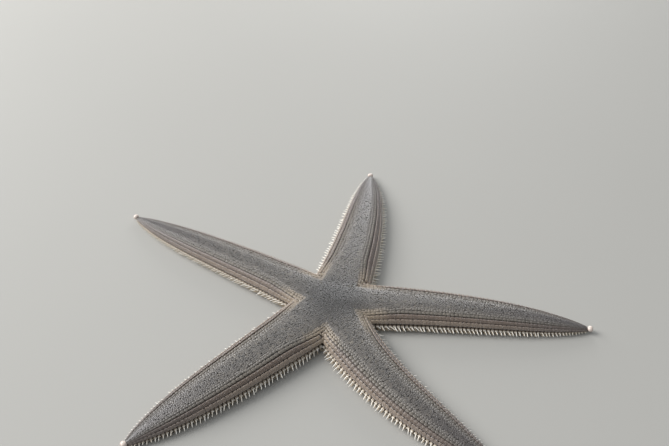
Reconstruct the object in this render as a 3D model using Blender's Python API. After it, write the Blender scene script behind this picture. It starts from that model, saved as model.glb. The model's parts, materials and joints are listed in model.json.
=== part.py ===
"""Five-armed starfish lying on the floor, life size, in one still pose.

Disc and arms are one low arch in section, flat below, with a groove down the underside of every arm.
A comb of flat pointed spines stands out along both margins of every arm, one spine to each marginal
plate, and a bead-like terminal plate closes each tip. Units are metres, +Z is up and the floor is z = 0.
"""

import math

import bmesh
import bpy
from mathutils import Vector

MM = 0.001

# Arms, counter-clockwise seen from above: bearing of the axis at the disc, at half length and at the
# tip, in degrees from +X; length from the disc's centre to the tip; breadth against the common outline.
ARMS = {
    "right": {"bearings": (0.0, -7.0, -10.5), "reach": 104 * MM, "breadth": 0.96},
    "back": {"bearings": (70.0, 79.0, 85.0), "reach": 97 * MM, "breadth": 1.05},
    "back_left": {"bearings": (143.0, 148.5, 144.0), "reach": 111 * MM, "breadth": 0.90},
    "front_left": {"bearings": (227.0, 222.0, 220.0), "reach": 97 * MM, "breadth": 1.10},
    "front": {"bearings": (285.5, 309.0, 320.0), "reach": 98 * MM, "breadth": 0.97},
}

# Outline: half breadth of an arm = HALF_BREADTH * (1 - TAPER * t) * (1 - t ** TIP_POWER) ** TIP_ROUNDING
HALF_BREADTH = 11.9 * MM
TAPER = 0.45
TIP_POWER = 6
TIP_ROUNDING = 0.85

# Section of an arm where it is FULL_HALF_BREADTH wide; it grows thinner as the arm narrows.
FULL_HALF_BREADTH = 11.0 * MM
THINNING = 0.75
MARGIN_TOP = 4.1 * MM
MARGIN_FOOT = 1.0 * MM
ARCH_HEIGHT = 4.4 * MM
ARCH_POWER = 2.2
GROOVE_HALF = 2.4 * MM
GROOVE_DEPTH = 2.6 * MM
SHOULDER_AT = 0.86
CROWN_AT = 0.45
MARGIN_FOOT_AT = 0.97

# The last part of each arm lifts a little off the floor.
LIFT_FROM = 0.80
TIP_LIFT = 0.9 * MM

# Marginal plates and the spine that each of them carries.
PLATE_PITCH = 1.75 * MM
PLATE_PITCH_AT_TIP = 1.1 * MM
SPINE_LENGTH = 2.5 * MM
SPINE_THINNING = 0.6
SPINE_SLANT = math.radians(24)
SPINE_TIP_HEIGHT = 1.9 * MM
SPINE_SHARE_OF_AXIL = 0.5

# Terminal plate at each tip, as half sizes along, across and up.
TIP_PLATE = (1.1 * MM, 1.3 * MM, 1.1 * MM)
TIP_PLATE_BANDS = 6
TIP_PLATE_SIDES = 10

JOINT_GAP = 0.3 * MM
SHOULDER_PAST_AXIL = 1.2 * MM
DISC_BLEND = 0.4 * MM
DISC_RINGS = (0.3, 0.6, 0.85)
MOUTH_RADIUS = 1.8 * MM
MOUTH_DEPTH = 3.0 * MM
JAW_LIFT = 0.6 * MM
JAW_ROOT_RADIUS = 4.5 * MM
RIM_INSET = 0.86
AXIS_STEPS = 120
AXIL_STEPS = 400
AXIL_WITHIN = 40 * MM


def clear_scene():
    for thing in list(bpy.data.objects):
        bpy.data.objects.remove(thing, do_unlink=True)


def skin_material(name, colour, roughness):
    """A Principled material for one sub-part."""
    made = bpy.data.materials.new(name)
    made.use_nodes = True
    shader = made.node_tree.nodes["Principled BSDF"]
    shader.inputs["Base Color"].default_value = (*colour, 1.0)
    shader.inputs["Roughness"].default_value = roughness
    shader.inputs["Metallic"].default_value = 0.0
    return made


def bearing_at(arm, t):
    """Bearing of the arm's axis at share t of its length, on a parabola through its three bearings."""
    root, middle, tip = (math.radians(b) for b in arm["bearings"])
    return root * (1 - t) * (1 - 2 * t) + 4 * middle * t * (1 - t) + tip * t * (2 * t - 1)


def arm_axis(arm):
    """Points on the arm's axis from the disc's centre to its tip, at equal steps."""
    step = arm["reach"] / AXIS_STEPS
    points = [Vector((0.0, 0.0))]
    for i in range(AXIS_STEPS):
        bearing = bearing_at(arm, (i + 0.5) / AXIS_STEPS)
        points.append(points[-1] + Vector((math.cos(bearing), math.sin(bearing))) * step)
    return points


def on_arm(arm, s, u):
    """Plan position at length s along the arm and u to the left of its axis."""
    place = s / arm["reach"] * AXIS_STEPS
    i = min(int(place), AXIS_STEPS - 1)
    along = arm["axis"][i].lerp(arm["axis"][i + 1], place - i)
    bearing = bearing_at(arm, s / arm["reach"])
    return along + Vector((-math.sin(bearing), math.cos(bearing))) * u


def locate(arm, point):
    """Length along the arm and distance from its axis of a plan position."""
    nearest = min(range(AXIS_STEPS + 1), key=lambda i: (arm["axis"][i] - point).length_squared)
    offset = point - arm["axis"][nearest]
    if nearest == 0:
        return 0.0, offset.length
    bearing = bearing_at(arm, nearest / AXIS_STEPS)
    onward = offset.x * math.cos(bearing) + offset.y * math.sin(bearing)
    sideways = offset.y * math.cos(bearing) - offset.x * math.sin(bearing)
    return nearest / AXIS_STEPS * arm["reach"] + onward, abs(sideways)


def half_breadth(arm, s):
    t = min(s / arm["reach"], 1.0)
    return HALF_BREADTH * arm["breadth"] * (1 - TAPER * t) * (1 - t**TIP_POWER) ** TIP_ROUNDING


def thickness(arm, s):
    """How thick the arm is at s, as a share of its full section."""
    return min(1.0, half_breadth(arm, s) / FULL_HALF_BREADTH) ** THINNING


def lift(arm, s):
    rise = max(0.0, (s / arm["reach"] - LIFT_FROM) / (1 - LIFT_FROM))
    return TIP_LIFT * rise * rise


def arch(arm, s, share):
    """Height of the upper surface at a share of the half breadth."""
    k = thickness(arm, s)
    crown = (1 - min(abs(share), 1.0) ** ARCH_POWER) ** (1 / ARCH_POWER)
    return (MARGIN_TOP + ARCH_HEIGHT * crown) * k + lift(arm, s)


def section(arm, s):
    """One ring of the arm at s: (u, z) from the left margin over the top and back along the floor."""
    a = half_breadth(arm, s)
    k = thickness(arm, s)
    up = lift(arm, s)
    shares = (1.0, SHOULDER_AT, CROWN_AT, 0.0, -CROWN_AT, -SHOULDER_AT, -1.0)
    ring = [(share * a, arch(arm, s, share)) for share in shares]
    groove = GROOVE_HALF * k
    foot = ((-MARGIN_FOOT_AT * a, MARGIN_FOOT * k), (-SHOULDER_AT * a, 0.0), (-groove, 0.0))
    ring += [(u, z + up) for u, z in foot]
    ring.append((0.0, GROOVE_DEPTH * k + up))
    ring += [(-u, z + up) for u, z in reversed(foot)]
    return ring


def spine_tip(arm, s, side):
    """Point of the spine whose plate is centred at s on the left (+1) or right (-1) margin."""
    a = half_breadth(arm, s)
    from_axil = s - arm["left_axil" if side > 0 else "right_axil"]
    length = SPINE_LENGTH * (a / FULL_HALF_BREADTH) ** SPINE_THINNING
    length = min(length, SPINE_SHARE_OF_AXIL * from_axil)
    past = min(s + length * math.sin(SPINE_SLANT), arm["reach"])
    point = on_arm(arm, past, side * (half_breadth(arm, s) + length * math.cos(SPINE_SLANT)))
    return Vector((*point, SPINE_TIP_HEIGHT * thickness(arm, s) + lift(arm, s)))


def plate_stations(arm, start, end):
    """Edges of the marginal plates from start to end, closer together towards the tip."""
    stations = [start]
    while stations[-1] < end:
        wide = min(1.0, half_breadth(arm, stations[-1]) / FULL_HALF_BREADTH)
        stations.append(stations[-1] + PLATE_PITCH_AT_TIP + (PLATE_PITCH - PLATE_PITCH_AT_TIP) * wide)
    stretch = (end - start) / (stations[-1] - start)
    return [start + (s - start) * stretch for s in stations]


def solid(name, points, faces, colour, roughness):
    """One closed solid as an object of its own, placed by its vertices."""
    mesh = bpy.data.meshes.new(name)
    mesh.from_pydata([tuple(p) for p in points], [], faces)
    build = bmesh.new()
    build.from_mesh(mesh)
    bmesh.ops.recalc_face_normals(build, faces=build.faces)
    bmesh.ops.triangulate(build, faces=build.faces)
    build.to_mesh(mesh)
    build.free()
    mesh.materials.append(skin_material(name, colour, roughness))
    made = bpy.data.objects.new(name, mesh)
    bpy.context.scene.collection.objects.link(made)
    return made


def find_axil(left, right):
    """Lengths along two neighbouring arms at which their facing margins meet.

    left is the arm on the counter-clockwise side; its right margin meets the left margin of right.
    """
    best = (math.inf, 0.0, 0.0)
    for i in range(AXIL_STEPS):
        s = AXIL_WITHIN * i / AXIL_STEPS
        t, away = locate(left, on_arm(right, s, half_breadth(right, s)))
        miss = abs(away - half_breadth(left, t))
        if t > 0:
            best = min(best, (miss, s, t))
    return best[1], best[2]


def prepare_arms():
    """Work out every arm's axis, the axils beside it and where it leaves the disc."""
    order = list(ARMS)
    for arm in ARMS.values():
        arm["axis"] = arm_axis(arm)
    for name, after in zip(order, order[1:] + order[:1]):
        ARMS[name]["left_axil"], ARMS[after]["right_axil"] = find_axil(ARMS[after], ARMS[name])
    for arm in ARMS.values():
        arm["root"] = max(arm["left_axil"], arm["right_axil"]) + SHOULDER_PAST_AXIL
        arm["end"] = arm["reach"] - 2 * TIP_PLATE[0] - JOINT_GAP


def make_arm(name, arm):
    """Loft the arm through its rings; each plate's margin quad is drawn out into a spine."""
    stations = plate_stations(arm, arm["root"] + JOINT_GAP, arm["end"])
    points = []
    for s in stations:
        points += [Vector((*on_arm(arm, s, u), z)) for u, z in section(arm, s)]
    size = len(section(arm, stations[0]))
    right_margin = 6
    left_margin = size - 1
    faces = [tuple(range(size)), tuple(range(len(points) - size, len(points)))]
    for ring in range(len(stations) - 1):
        middle = (stations[ring] + stations[ring + 1]) / 2
        for i in range(size):
            j = (i + 1) % size
            a, b = ring * size + i, ring * size + j
            c, d = b + size, a + size
            if i in (right_margin, left_margin):
                side = 1 if i == left_margin else -1
                points.append(spine_tip(arm, middle, side))
                apex = len(points) - 1
                faces += [(a, b, apex), (b, c, apex), (c, d, apex), (d, a, apex)]
            else:
                faces.append((a, b, c, d))
    return solid("arm_" + name, points, faces, colour=(0.20, 0.18, 0.17), roughness=0.5)


def make_tip_plate(name, arm):
    """Bead-like terminal plate just past the end of the arm."""
    s = arm["reach"] - TIP_PLATE[0]
    bearing = bearing_at(arm, s / arm["reach"])
    along = Vector((math.cos(bearing), math.sin(bearing), 0.0))
    across = Vector((-along.y, along.x, 0.0))
    middle = Vector((*on_arm(arm, s, 0.0), lift(arm, s) + TIP_PLATE[2]))
    points = [middle + along * TIP_PLATE[0], middle - along * TIP_PLATE[0]]
    for band in range(1, TIP_PLATE_BANDS):
        polar = math.pi * band / TIP_PLATE_BANDS
        for side in range(TIP_PLATE_SIDES):
            turn = 2 * math.pi * side / TIP_PLATE_SIDES
            spread = math.sin(polar)
            offset = along * TIP_PLATE[0] * math.cos(polar)
            offset += across * TIP_PLATE[1] * spread * math.cos(turn)
            offset += Vector((0.0, 0.0, TIP_PLATE[2] * spread * math.sin(turn)))
            points.append(middle + offset)
    faces = []
    last = 2 + (TIP_PLATE_BANDS - 2) * TIP_PLATE_SIDES
    for i in range(TIP_PLATE_SIDES):
        j = (i + 1) % TIP_PLATE_SIDES
        faces += [(0, 2 + i, 2 + j), (1, last + i, last + j)]
        for band in range(TIP_PLATE_BANDS - 2):
            near = 2 + band * TIP_PLATE_SIDES
            far = near + TIP_PLATE_SIDES
            faces.append((near + i, near + j, far + j, far + i))
    return solid("tip_plate_" + name, points, faces, colour=(0.62, 0.50, 0.45), roughness=0.4)


def disc_height(point):
    """Upper surface of the disc: the arches of all five arms, blended where they meet."""
    total = 0.0
    for arm in ARMS.values():
        s, away = locate(arm, point)
        a = half_breadth(arm, s)
        height = arch(arm, s, away / a) if away < a else MARGIN_TOP - (away - a)
        total += math.exp(height / DISC_BLEND)
    return DISC_BLEND * math.log(total)


def root_face_rim(arm):
    """Rim of the disc across the face that an arm grows from, right margin to left."""
    root = arm["root"]
    a = half_breadth(arm, root)
    groove = GROOVE_HALF / a
    kinds = {0.0: "groove", groove: "edge", -groove: "edge"}
    bottoms = {0.0: GROOVE_DEPTH, 1.0: MARGIN_FOOT, -1.0: MARGIN_FOOT}
    rim = []
    for share in (-1.0, -SHOULDER_AT, -CROWN_AT, -groove, 0.0, groove, CROWN_AT, SHOULDER_AT, 1.0):
        rim.append(
            {
                "plan": on_arm(arm, root, share * a),
                "top": arch(arm, root, share),
                "bottom": bottoms.get(share, 0.0),
                "kind": kinds.get(share, "face"),
                "spine": None,
            }
        )
    return rim


def disc_rim():
    """Rim of the disc, counter-clockwise: the root face of each arm, then the margins to the next arm.

    An entry's spine is the point of the spine that stands between it and the next entry.
    """
    rim = []
    order = list(ARMS.values())
    for arm, after in zip(order, order[1:] + order[:1]):
        rim += root_face_rim(arm)
        outward = (arm, 1, arm["root"], arm["left_axil"])
        inward = (after, -1, after["right_axil"], after["root"])
        for owner, side, first, final in (outward, inward):
            count = max(1, round(abs(first - final) / PLATE_PITCH))
            step = (final - first) / count
            for i in range(count):
                rim[-1]["spine"] = spine_tip(owner, first + (i + 0.5) * step, side)
                if side == -1 and i == count - 1:
                    continue
                s = first + (i + 1) * step
                plan = on_arm(owner, s, side * half_breadth(owner, s))
                rim.append(
                    {
                        "plan": plan,
                        "top": MARGIN_TOP,
                        "bottom": MARGIN_FOOT,
                        "kind": "margin",
                        "spine": None,
                    }
                )
    return rim


def add_ring(points, ring):
    """Append a ring of points and return their indices."""
    points += ring
    return list(range(len(points) - len(ring), len(points)))


def make_disc():
    """Disc as a polar mesh: rays from the centre to the rim, above and below."""
    rim = disc_rim()
    centre = Vector((0.0, 0.0))
    points = [Vector((*centre, disc_height(centre))), Vector((*centre, MOUTH_DEPTH))]
    above = []
    for share in DISC_RINGS:
        plans = [entry["plan"] * share for entry in rim]
        above.append(add_ring(points, [Vector((*plan, disc_height(plan))) for plan in plans]))
    above.append(add_ring(points, [Vector((*entry["plan"], entry["top"])) for entry in rim]))

    below = []
    mouth = {"groove": MOUTH_DEPTH, "edge": (MOUTH_DEPTH + JAW_LIFT) / 2}
    floor = {"groove": GROOVE_DEPTH}
    for radius, heights, elsewhere in ((MOUTH_RADIUS, mouth, JAW_LIFT), (JAW_ROOT_RADIUS, floor, 0.0)):
        ring = []
        for entry in rim:
            plan = entry["plan"].normalized() * radius
            ring.append(Vector((*plan, heights.get(entry["kind"], elsewhere))))
        below.append(add_ring(points, ring))
    inset = [Vector((*(entry["plan"] * RIM_INSET), floor.get(entry["kind"], 0.0))) for entry in rim]
    below.append(add_ring(points, inset))
    below.append(add_ring(points, [Vector((*entry["plan"], entry["bottom"])) for entry in rim]))

    faces = []
    for i, entry in enumerate(rim):
        j = (i + 1) % len(rim)
        faces += [(0, above[0][i], above[0][j]), (1, below[0][i], below[0][j])]
        for rings in (above, below):
            for near, far in zip(rings, rings[1:]):
                faces.append((near[i], near[j], far[j], far[i]))
        wall = (above[-1][i], above[-1][j], below[-1][j], below[-1][i])
        if entry["spine"] is None:
            faces.append(wall)
            continue
        points.append(entry["spine"])
        apex = len(points) - 1
        faces += [(wall[n], wall[(n + 1) % 4], apex) for n in range(4)]
    return solid("disc", points, faces, colour=(0.17, 0.16, 0.17), roughness=0.5)


def centre_on_origin(parts):
    """Move all the solids so that the middle of their box stands on the origin."""
    corners = [vertex.co for part in parts for vertex in part.data.vertices]
    shift = Vector((0.0, 0.0, 0.0))
    for axis in (0, 1):
        values = [corner[axis] for corner in corners]
        shift[axis] = -(min(values) + max(values)) / 2
    for part in parts:
        for vertex in part.data.vertices:
            vertex.co += shift


clear_scene()
prepare_arms()
parts = [make_disc()]
for arm_name, arm_shape in ARMS.items():
    parts.append(make_arm(arm_name, arm_shape))
    parts.append(make_tip_plate(arm_name, arm_shape))
centre_on_origin(parts)
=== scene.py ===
"""Grey sea star: the finish of the life-size museum model.

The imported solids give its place, size and outline. Each section below makes one group of the real animal's
pieces, from the body skin outwards: the coat of small plates, the margins with their comb of spines, the
underside with its grooves, feet and mouth, and the plates at the tips. Units are metres.
"""

import json
import math

import bmesh
import bpy
import numpy as np
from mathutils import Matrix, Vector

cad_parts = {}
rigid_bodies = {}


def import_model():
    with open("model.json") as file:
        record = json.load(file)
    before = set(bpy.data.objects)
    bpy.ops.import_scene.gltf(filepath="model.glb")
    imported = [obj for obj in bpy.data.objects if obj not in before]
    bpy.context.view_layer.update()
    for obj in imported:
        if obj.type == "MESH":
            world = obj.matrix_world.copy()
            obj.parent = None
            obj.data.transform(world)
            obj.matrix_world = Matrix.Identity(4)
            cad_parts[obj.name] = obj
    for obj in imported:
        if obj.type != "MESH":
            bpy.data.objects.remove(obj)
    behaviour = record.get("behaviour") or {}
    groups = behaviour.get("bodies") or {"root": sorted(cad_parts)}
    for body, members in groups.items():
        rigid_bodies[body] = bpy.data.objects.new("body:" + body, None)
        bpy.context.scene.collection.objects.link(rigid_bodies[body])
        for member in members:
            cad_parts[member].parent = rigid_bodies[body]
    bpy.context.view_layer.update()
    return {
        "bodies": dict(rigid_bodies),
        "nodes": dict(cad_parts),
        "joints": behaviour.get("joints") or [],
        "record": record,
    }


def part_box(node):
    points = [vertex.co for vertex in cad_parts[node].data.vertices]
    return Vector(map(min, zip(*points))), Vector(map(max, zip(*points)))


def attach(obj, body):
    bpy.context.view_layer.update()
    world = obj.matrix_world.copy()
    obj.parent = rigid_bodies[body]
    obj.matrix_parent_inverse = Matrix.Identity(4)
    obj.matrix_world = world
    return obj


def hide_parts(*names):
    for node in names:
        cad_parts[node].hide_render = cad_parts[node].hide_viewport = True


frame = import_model()

# ---- Body skin -----------------------------------------------------------------------------------------
# Disc and arms are wrapped in one soft, leathery skin, dark grey-brown above and cream below, drawn over the
# plates of the skeleton. Its dark brown along the margins and down their walls is partly the skin's own
# colour and partly painted shadow. Everything that follows is set into it, and it shows only between the
# small plates.

MM = 0.001
AXIS_STEPS = 120
HALF_BREADTH = 11.9 * MM
TAPER = 0.45
TIP_POWER = 6
TIP_ROUNDING = 0.85
FULL_HALF_BREADTH = 11.0 * MM
THINNING = 0.75
MARGIN_TOP = 4.1 * MM
MARGIN_FOOT = 1.0 * MM
MARGIN_FOOT_AT = 0.97
SHOULDER_AT = 0.86
ARCH_HEIGHT = 4.4 * MM
ARCH_POWER = 2.2
GROOVE_HALF = 2.4 * MM
GROOVE_DEPTH = 2.6 * MM
GROOVE_FADE = 3 * MM
GROOVE_LIP = 0.3 * MM
MOUTH_RADIUS = 2.6 * MM
MOUTH_DEPTH = 3.0 * MM
LIFT_FROM = 0.80
TIP_LIFT = 0.9 * MM
DISC_BLEND = 0.4 * MM
TIP_PLATE_LENGTH = 2.2 * MM
AXIL_WITHIN = 40 * MM
FINE_STEP = 0.1 * MM
LEFT, RIGHT = 1, -1

SKIN_VOXEL = 0.55 * MM
SKIN_RINGS = 90
SKIN_SHARES = np.sin(np.linspace(np.pi / 2, -np.pi / 2, 27))
SKIN_INSET = 0.45 * MM
SKIN_FLOOR = 0.45 * MM
SKIN_SOFTENING = 3
COAT_DEPTH = 0.6 * MM
COAT_THINNING = 0.75
LEAST = 0.01 * MM


class Arm:
    """One arm: its axis over the floor, its outline and the arch of its back.

    s is a length along the axis from the disc's centre, u a distance to the left of it, and a share is u
    against the arm's half breadth there.
    """

    def __init__(self, name, bearings, reach, breadth):
        self.name = name
        self.bearings = np.radians(bearings)
        self.reach = reach
        self.breadth = breadth
        self.axil = {}
        self.stations = np.linspace(0, reach, AXIS_STEPS + 1)
        turns = self.bearing((self.stations[1:] + self.stations[:-1]) / 2)
        steps = np.column_stack([np.cos(turns), np.sin(turns)]) * reach / AXIS_STEPS
        self.axis = np.vstack([np.zeros((1, 2)), np.cumsum(steps, axis=0)])

    def bearing(self, s):
        t = s / self.reach
        root, middle, tip = self.bearings
        return root * (1 - t) * (1 - 2 * t) + 4 * middle * t * (1 - t) + tip * t * (2 * t - 1)

    def plan(self, s, u):
        """Places on the floor."""
        turn = self.bearing(s)
        x = np.interp(s, self.stations, self.axis[:, 0]) - np.sin(turn) * u
        y = np.interp(s, self.stations, self.axis[:, 1]) + np.cos(turn) * u
        return np.column_stack([x, y])

    def locate(self, plan):
        """s and u of places on the floor; behind the disc's centre u is the distance from it."""
        gaps = [(plan[:, None, i] - self.axis[None, :, i]) ** 2 for i in (0, 1)]
        nearest = (gaps[0] + gaps[1]).argmin(axis=1)
        offset = plan - self.axis[nearest]
        turn = self.bearing(self.stations[nearest])
        onward = offset[:, 0] * np.cos(turn) + offset[:, 1] * np.sin(turn)
        sideways = offset[:, 1] * np.cos(turn) - offset[:, 0] * np.sin(turn)
        behind = nearest == 0
        s = np.where(behind, 0.0, self.stations[nearest] + onward)
        return s, np.where(behind, np.hypot(offset[:, 0], offset[:, 1]), sideways)

    def half_breadth(self, s):
        t = np.clip(s / self.reach, 0, 1)
        return HALF_BREADTH * self.breadth * (1 - TAPER * t) * (1 - t**TIP_POWER) ** TIP_ROUNDING

    def thickness(self, s):
        """How thick the arm is at s, as a share of its full section."""
        return np.minimum(1, self.half_breadth(s) / FULL_HALF_BREADTH) ** THINNING

    def lift(self, s):
        rise = np.clip((s / self.reach - LIFT_FROM) / (1 - LIFT_FROM), 0, 1)
        return TIP_LIFT * rise**2

    def arch(self, s, share):
        """Height of the back."""
        crown = (1 - np.minimum(np.abs(share), 1) ** ARCH_POWER) ** (1 / ARCH_POWER)
        return (MARGIN_TOP + ARCH_HEIGHT * crown) * self.thickness(s) + self.lift(s)

    def height_over(self, plan):
        """Height of the back over places on the floor, falling away outside the arm."""
        s, u = self.locate(plan)
        a = self.half_breadth(s)
        inside = self.arch(s, u / np.maximum(a, LEAST))
        return np.where(np.abs(u) < a, inside, MARGIN_TOP - (np.abs(u) - a))

    def depth(self, plan):
        """How far inside the arm's outline places on the floor lie, against its breadth."""
        s, u = self.locate(plan)
        return (self.half_breadth(s) - np.abs(u)) / self.breadth

    def corner(self):
        """Place on the floor where its left margin meets the next arm's."""
        s = self.axil[LEFT]
        return self.plan(np.array([s]), self.half_breadth(s))[0]


# Each arm's bearing at the disc, half way and at the tip, its length and its breadth.
ARMS = [
    Arm("right", (0.0, -7.0, -10.5), 104 * MM, 0.96),
    Arm("back", (70.0, 79.0, 85.0), 97 * MM, 1.05),
    Arm("back_left", (143.0, 148.5, 144.0), 111 * MM, 0.90),
    Arm("front_left", (227.0, 222.0, 220.0), 97 * MM, 1.10),
    Arm("front", (285.5, 309.0, 320.0), 98 * MM, 0.97),
]
LONGEST = max(arm.reach for arm in ARMS)


def place_arms():
    """Moves the arms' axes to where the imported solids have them."""
    low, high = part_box("tip_plate_right")
    right = ARMS[0]
    plate = right.plan(np.array([right.reach - TIP_PLATE_LENGTH / 2]), 0.0)[0]
    centre = np.array((low + high) / 2)[:2] - plate
    for arm in ARMS:
        arm.axis += centre
    return centre


def find_axils():
    """Works out how far along each arm either margin meets the next arm's."""
    for arm, after in zip(ARMS, ARMS[1:] + ARMS[:1]):
        s = np.arange(1 * MM, AXIL_WITHIN, FINE_STEP)
        t, u = after.locate(arm.plan(s, arm.half_breadth(s)))
        miss = np.where(t > 0, np.abs(np.abs(u) - after.half_breadth(t)), 1.0)
        arm.axil[LEFT] = s[miss.argmin()]
        after.axil[RIGHT] = t[miss.argmin()]


def arm_at(plan):
    """Which arm each place on the floor belongs to, and by how much it does."""
    depths = np.array([arm.depth(plan) for arm in ARMS])
    order = np.sort(depths, axis=0)
    return depths.argmax(axis=0), order[-1] - order[-2]


def cover(arm, s, share):
    """Places on the outer surface of the coat, blended with the other arms over the disc."""
    share = np.clip(share, -1, 1)
    plan = arm.plan(s, share * arm.half_breadth(s))
    own = arm.arch(s, share)
    total = np.ones(len(own))
    for other in ARMS:
        if other is not arm:
            total += np.exp((other.height_over(plan) - own) / DISC_BLEND)
    return np.column_stack([plan, own + DISC_BLEND * np.log(total)])


def skin_blank():
    """The five arms as plain closed bodies that run into each other at the disc."""
    build = bmesh.new()
    for arm in ARMS:
        rings = []
        for s in np.linspace(0, arm.reach - TIP_PLATE_LENGTH / 2, SKIN_RINGS):
            k = arm.thickness(s)
            a = arm.half_breadth(s) - SKIN_INSET * k
            sunk = COAT_DEPTH * k * (1 - COAT_THINNING * SKIN_SHARES**2)
            us = list(SKIN_SHARES * a)
            zs = list(arm.arch(s, SKIN_SHARES) - sunk)
            for share, z in ((MARGIN_FOOT_AT, MARGIN_FOOT), (SHOULDER_AT, SKIN_FLOOR)):
                us = [share * a, *us, -share * a]
                zs = [z * k + arm.lift(s), *zs, z * k + arm.lift(s)]
            plan = arm.plan(np.full(len(us), s), np.array(us))
            rings.append([build.verts.new((*p, z)) for p, z in zip(plan, zs)])
        for near, far in zip(rings, rings[1:]):
            for i in range(len(near)):
                j = (i + 1) % len(near)
                build.faces.new((near[i], near[j], far[j], far[i]))
        build.faces.new(rings[0])
        build.faces.new(rings[-1])
    bmesh.ops.recalc_face_normals(build, faces=build.faces)
    mesh = bpy.data.meshes.new("skin_blank")
    build.to_mesh(mesh)
    build.free()
    return mesh


def groove_over(plan):
    """How far the underside is drawn up into the arms' grooves and the mouth."""
    up = np.zeros(len(plan))
    for arm in ARMS:
        s, u = arm.locate(plan)
        k = arm.thickness(s)
        fade = np.clip((arm.reach - TIP_PLATE_LENGTH - s) / GROOVE_FADE, 0, 1)
        half = (GROOVE_HALF + GROOVE_LIP) * np.maximum(k, 0.05)
        up = np.maximum(up, GROOVE_DEPTH * k * fade * np.clip(1 - np.abs(u) / half, 0, 1))
    away = np.hypot(*(plan - CENTRE).T)
    return np.maximum(up, MOUTH_DEPTH * np.clip(1.5 - 1.5 * away / MOUTH_RADIUS, 0, 1))


def tell(mesh, told):
    """Stores numbers under their names at the points of a mesh, for its finish."""
    for name, values in told.items():
        layer = mesh.attributes.new(name, "FLOAT", "POINT")
        layer.data.foreach_set("value", values.astype(np.float32))


def put(name, data):
    """Adds an object to the scene."""
    made = bpy.data.objects.new(name, data)
    bpy.context.scene.collection.objects.link(made)
    return made


def stand(mesh, paint):
    """Puts a mesh into the scene as a smooth piece of the same name."""
    mesh.shade_smooth()
    mesh.materials.append(paint)
    return put(mesh.name, mesh)


def make_skin():
    """One smooth closed skin over disc and arms, with the grooves drawn up into it."""
    blank = put("skin_blank", skin_blank())
    merge = blank.modifiers.new("merge", "REMESH")
    merge.mode = "VOXEL"
    merge.voxel_size = SKIN_VOXEL
    soften = blank.modifiers.new("soften", "SMOOTH")
    soften.iterations = SKIN_SOFTENING
    merged = blank.evaluated_get(bpy.context.evaluated_depsgraph_get())
    mesh = bpy.data.meshes.new_from_object(merged)
    bpy.data.objects.remove(blank)
    mesh.name = "body_skin"

    count = len(mesh.vertices)
    points, facing = np.zeros((2, count * 3), np.float32)
    mesh.vertices.foreach_get("co", points)
    mesh.vertices.foreach_get("normal", facing)
    points = points.reshape(-1, 3).astype(float)
    up = facing.reshape(-1, 3)[:, 2]
    plan = points[:, :2]
    heights = np.array([arm.height_over(plan) for arm in ARMS])
    blended = DISC_BLEND * np.log(np.exp((heights - heights.max(axis=0)) / DISC_BLEND).sum(axis=0))
    owner, _ = arm_at(plan)
    along, inward = np.zeros((2, count))
    for i, arm in enumerate(ARMS):
        mine = owner == i
        s, u = arm.locate(plan[mine])
        along[mine] = s / arm.reach
        inward[mine] = 1 - np.abs(u) / np.maximum(arm.half_breadth(s), LEAST)
    hollow = np.where(up < -0.5, groove_over(plan), 0)
    points[:, 2] += np.where(up > 0, blended, hollow)
    mesh.vertices.foreach_set("co", points.ravel())
    mesh.update()
    # Faces not turned down take the back's colours, so the margins' walls are dark brown: there it is painted
    # shadow.
    above = np.clip((up + 0.7) * 4, 0, 1)
    tell(mesh, {"along": along, "inward": inward, "above": above, "hollow": hollow / MOUTH_DEPTH})
    return stand(mesh, skin_finish())


class Value:
    """A shader socket that takes part in Python sums: each expression on it adds its Math nodes."""

    def __init__(self, finish, socket):
        self.finish = finish
        self.socket = socket

    def maths(self, operation, first, second):
        return self.finish.node("ShaderNodeMath", {"operation": operation}, {0: first, 1: second})

    def __add__(self, other):
        return self.maths("ADD", self, other)

    __radd__ = __add__

    def __sub__(self, other):
        return self.maths("SUBTRACT", self, other)

    def __rsub__(self, other):
        return self.maths("SUBTRACT", other, self)

    def __mul__(self, other):
        return self.maths("MULTIPLY", self, other)

    __rmul__ = __mul__

    def __pow__(self, other):
        return self.maths("POWER", self, other)

    def at_least(self, other):
        return self.maths("MAXIMUM", self, other)


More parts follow.
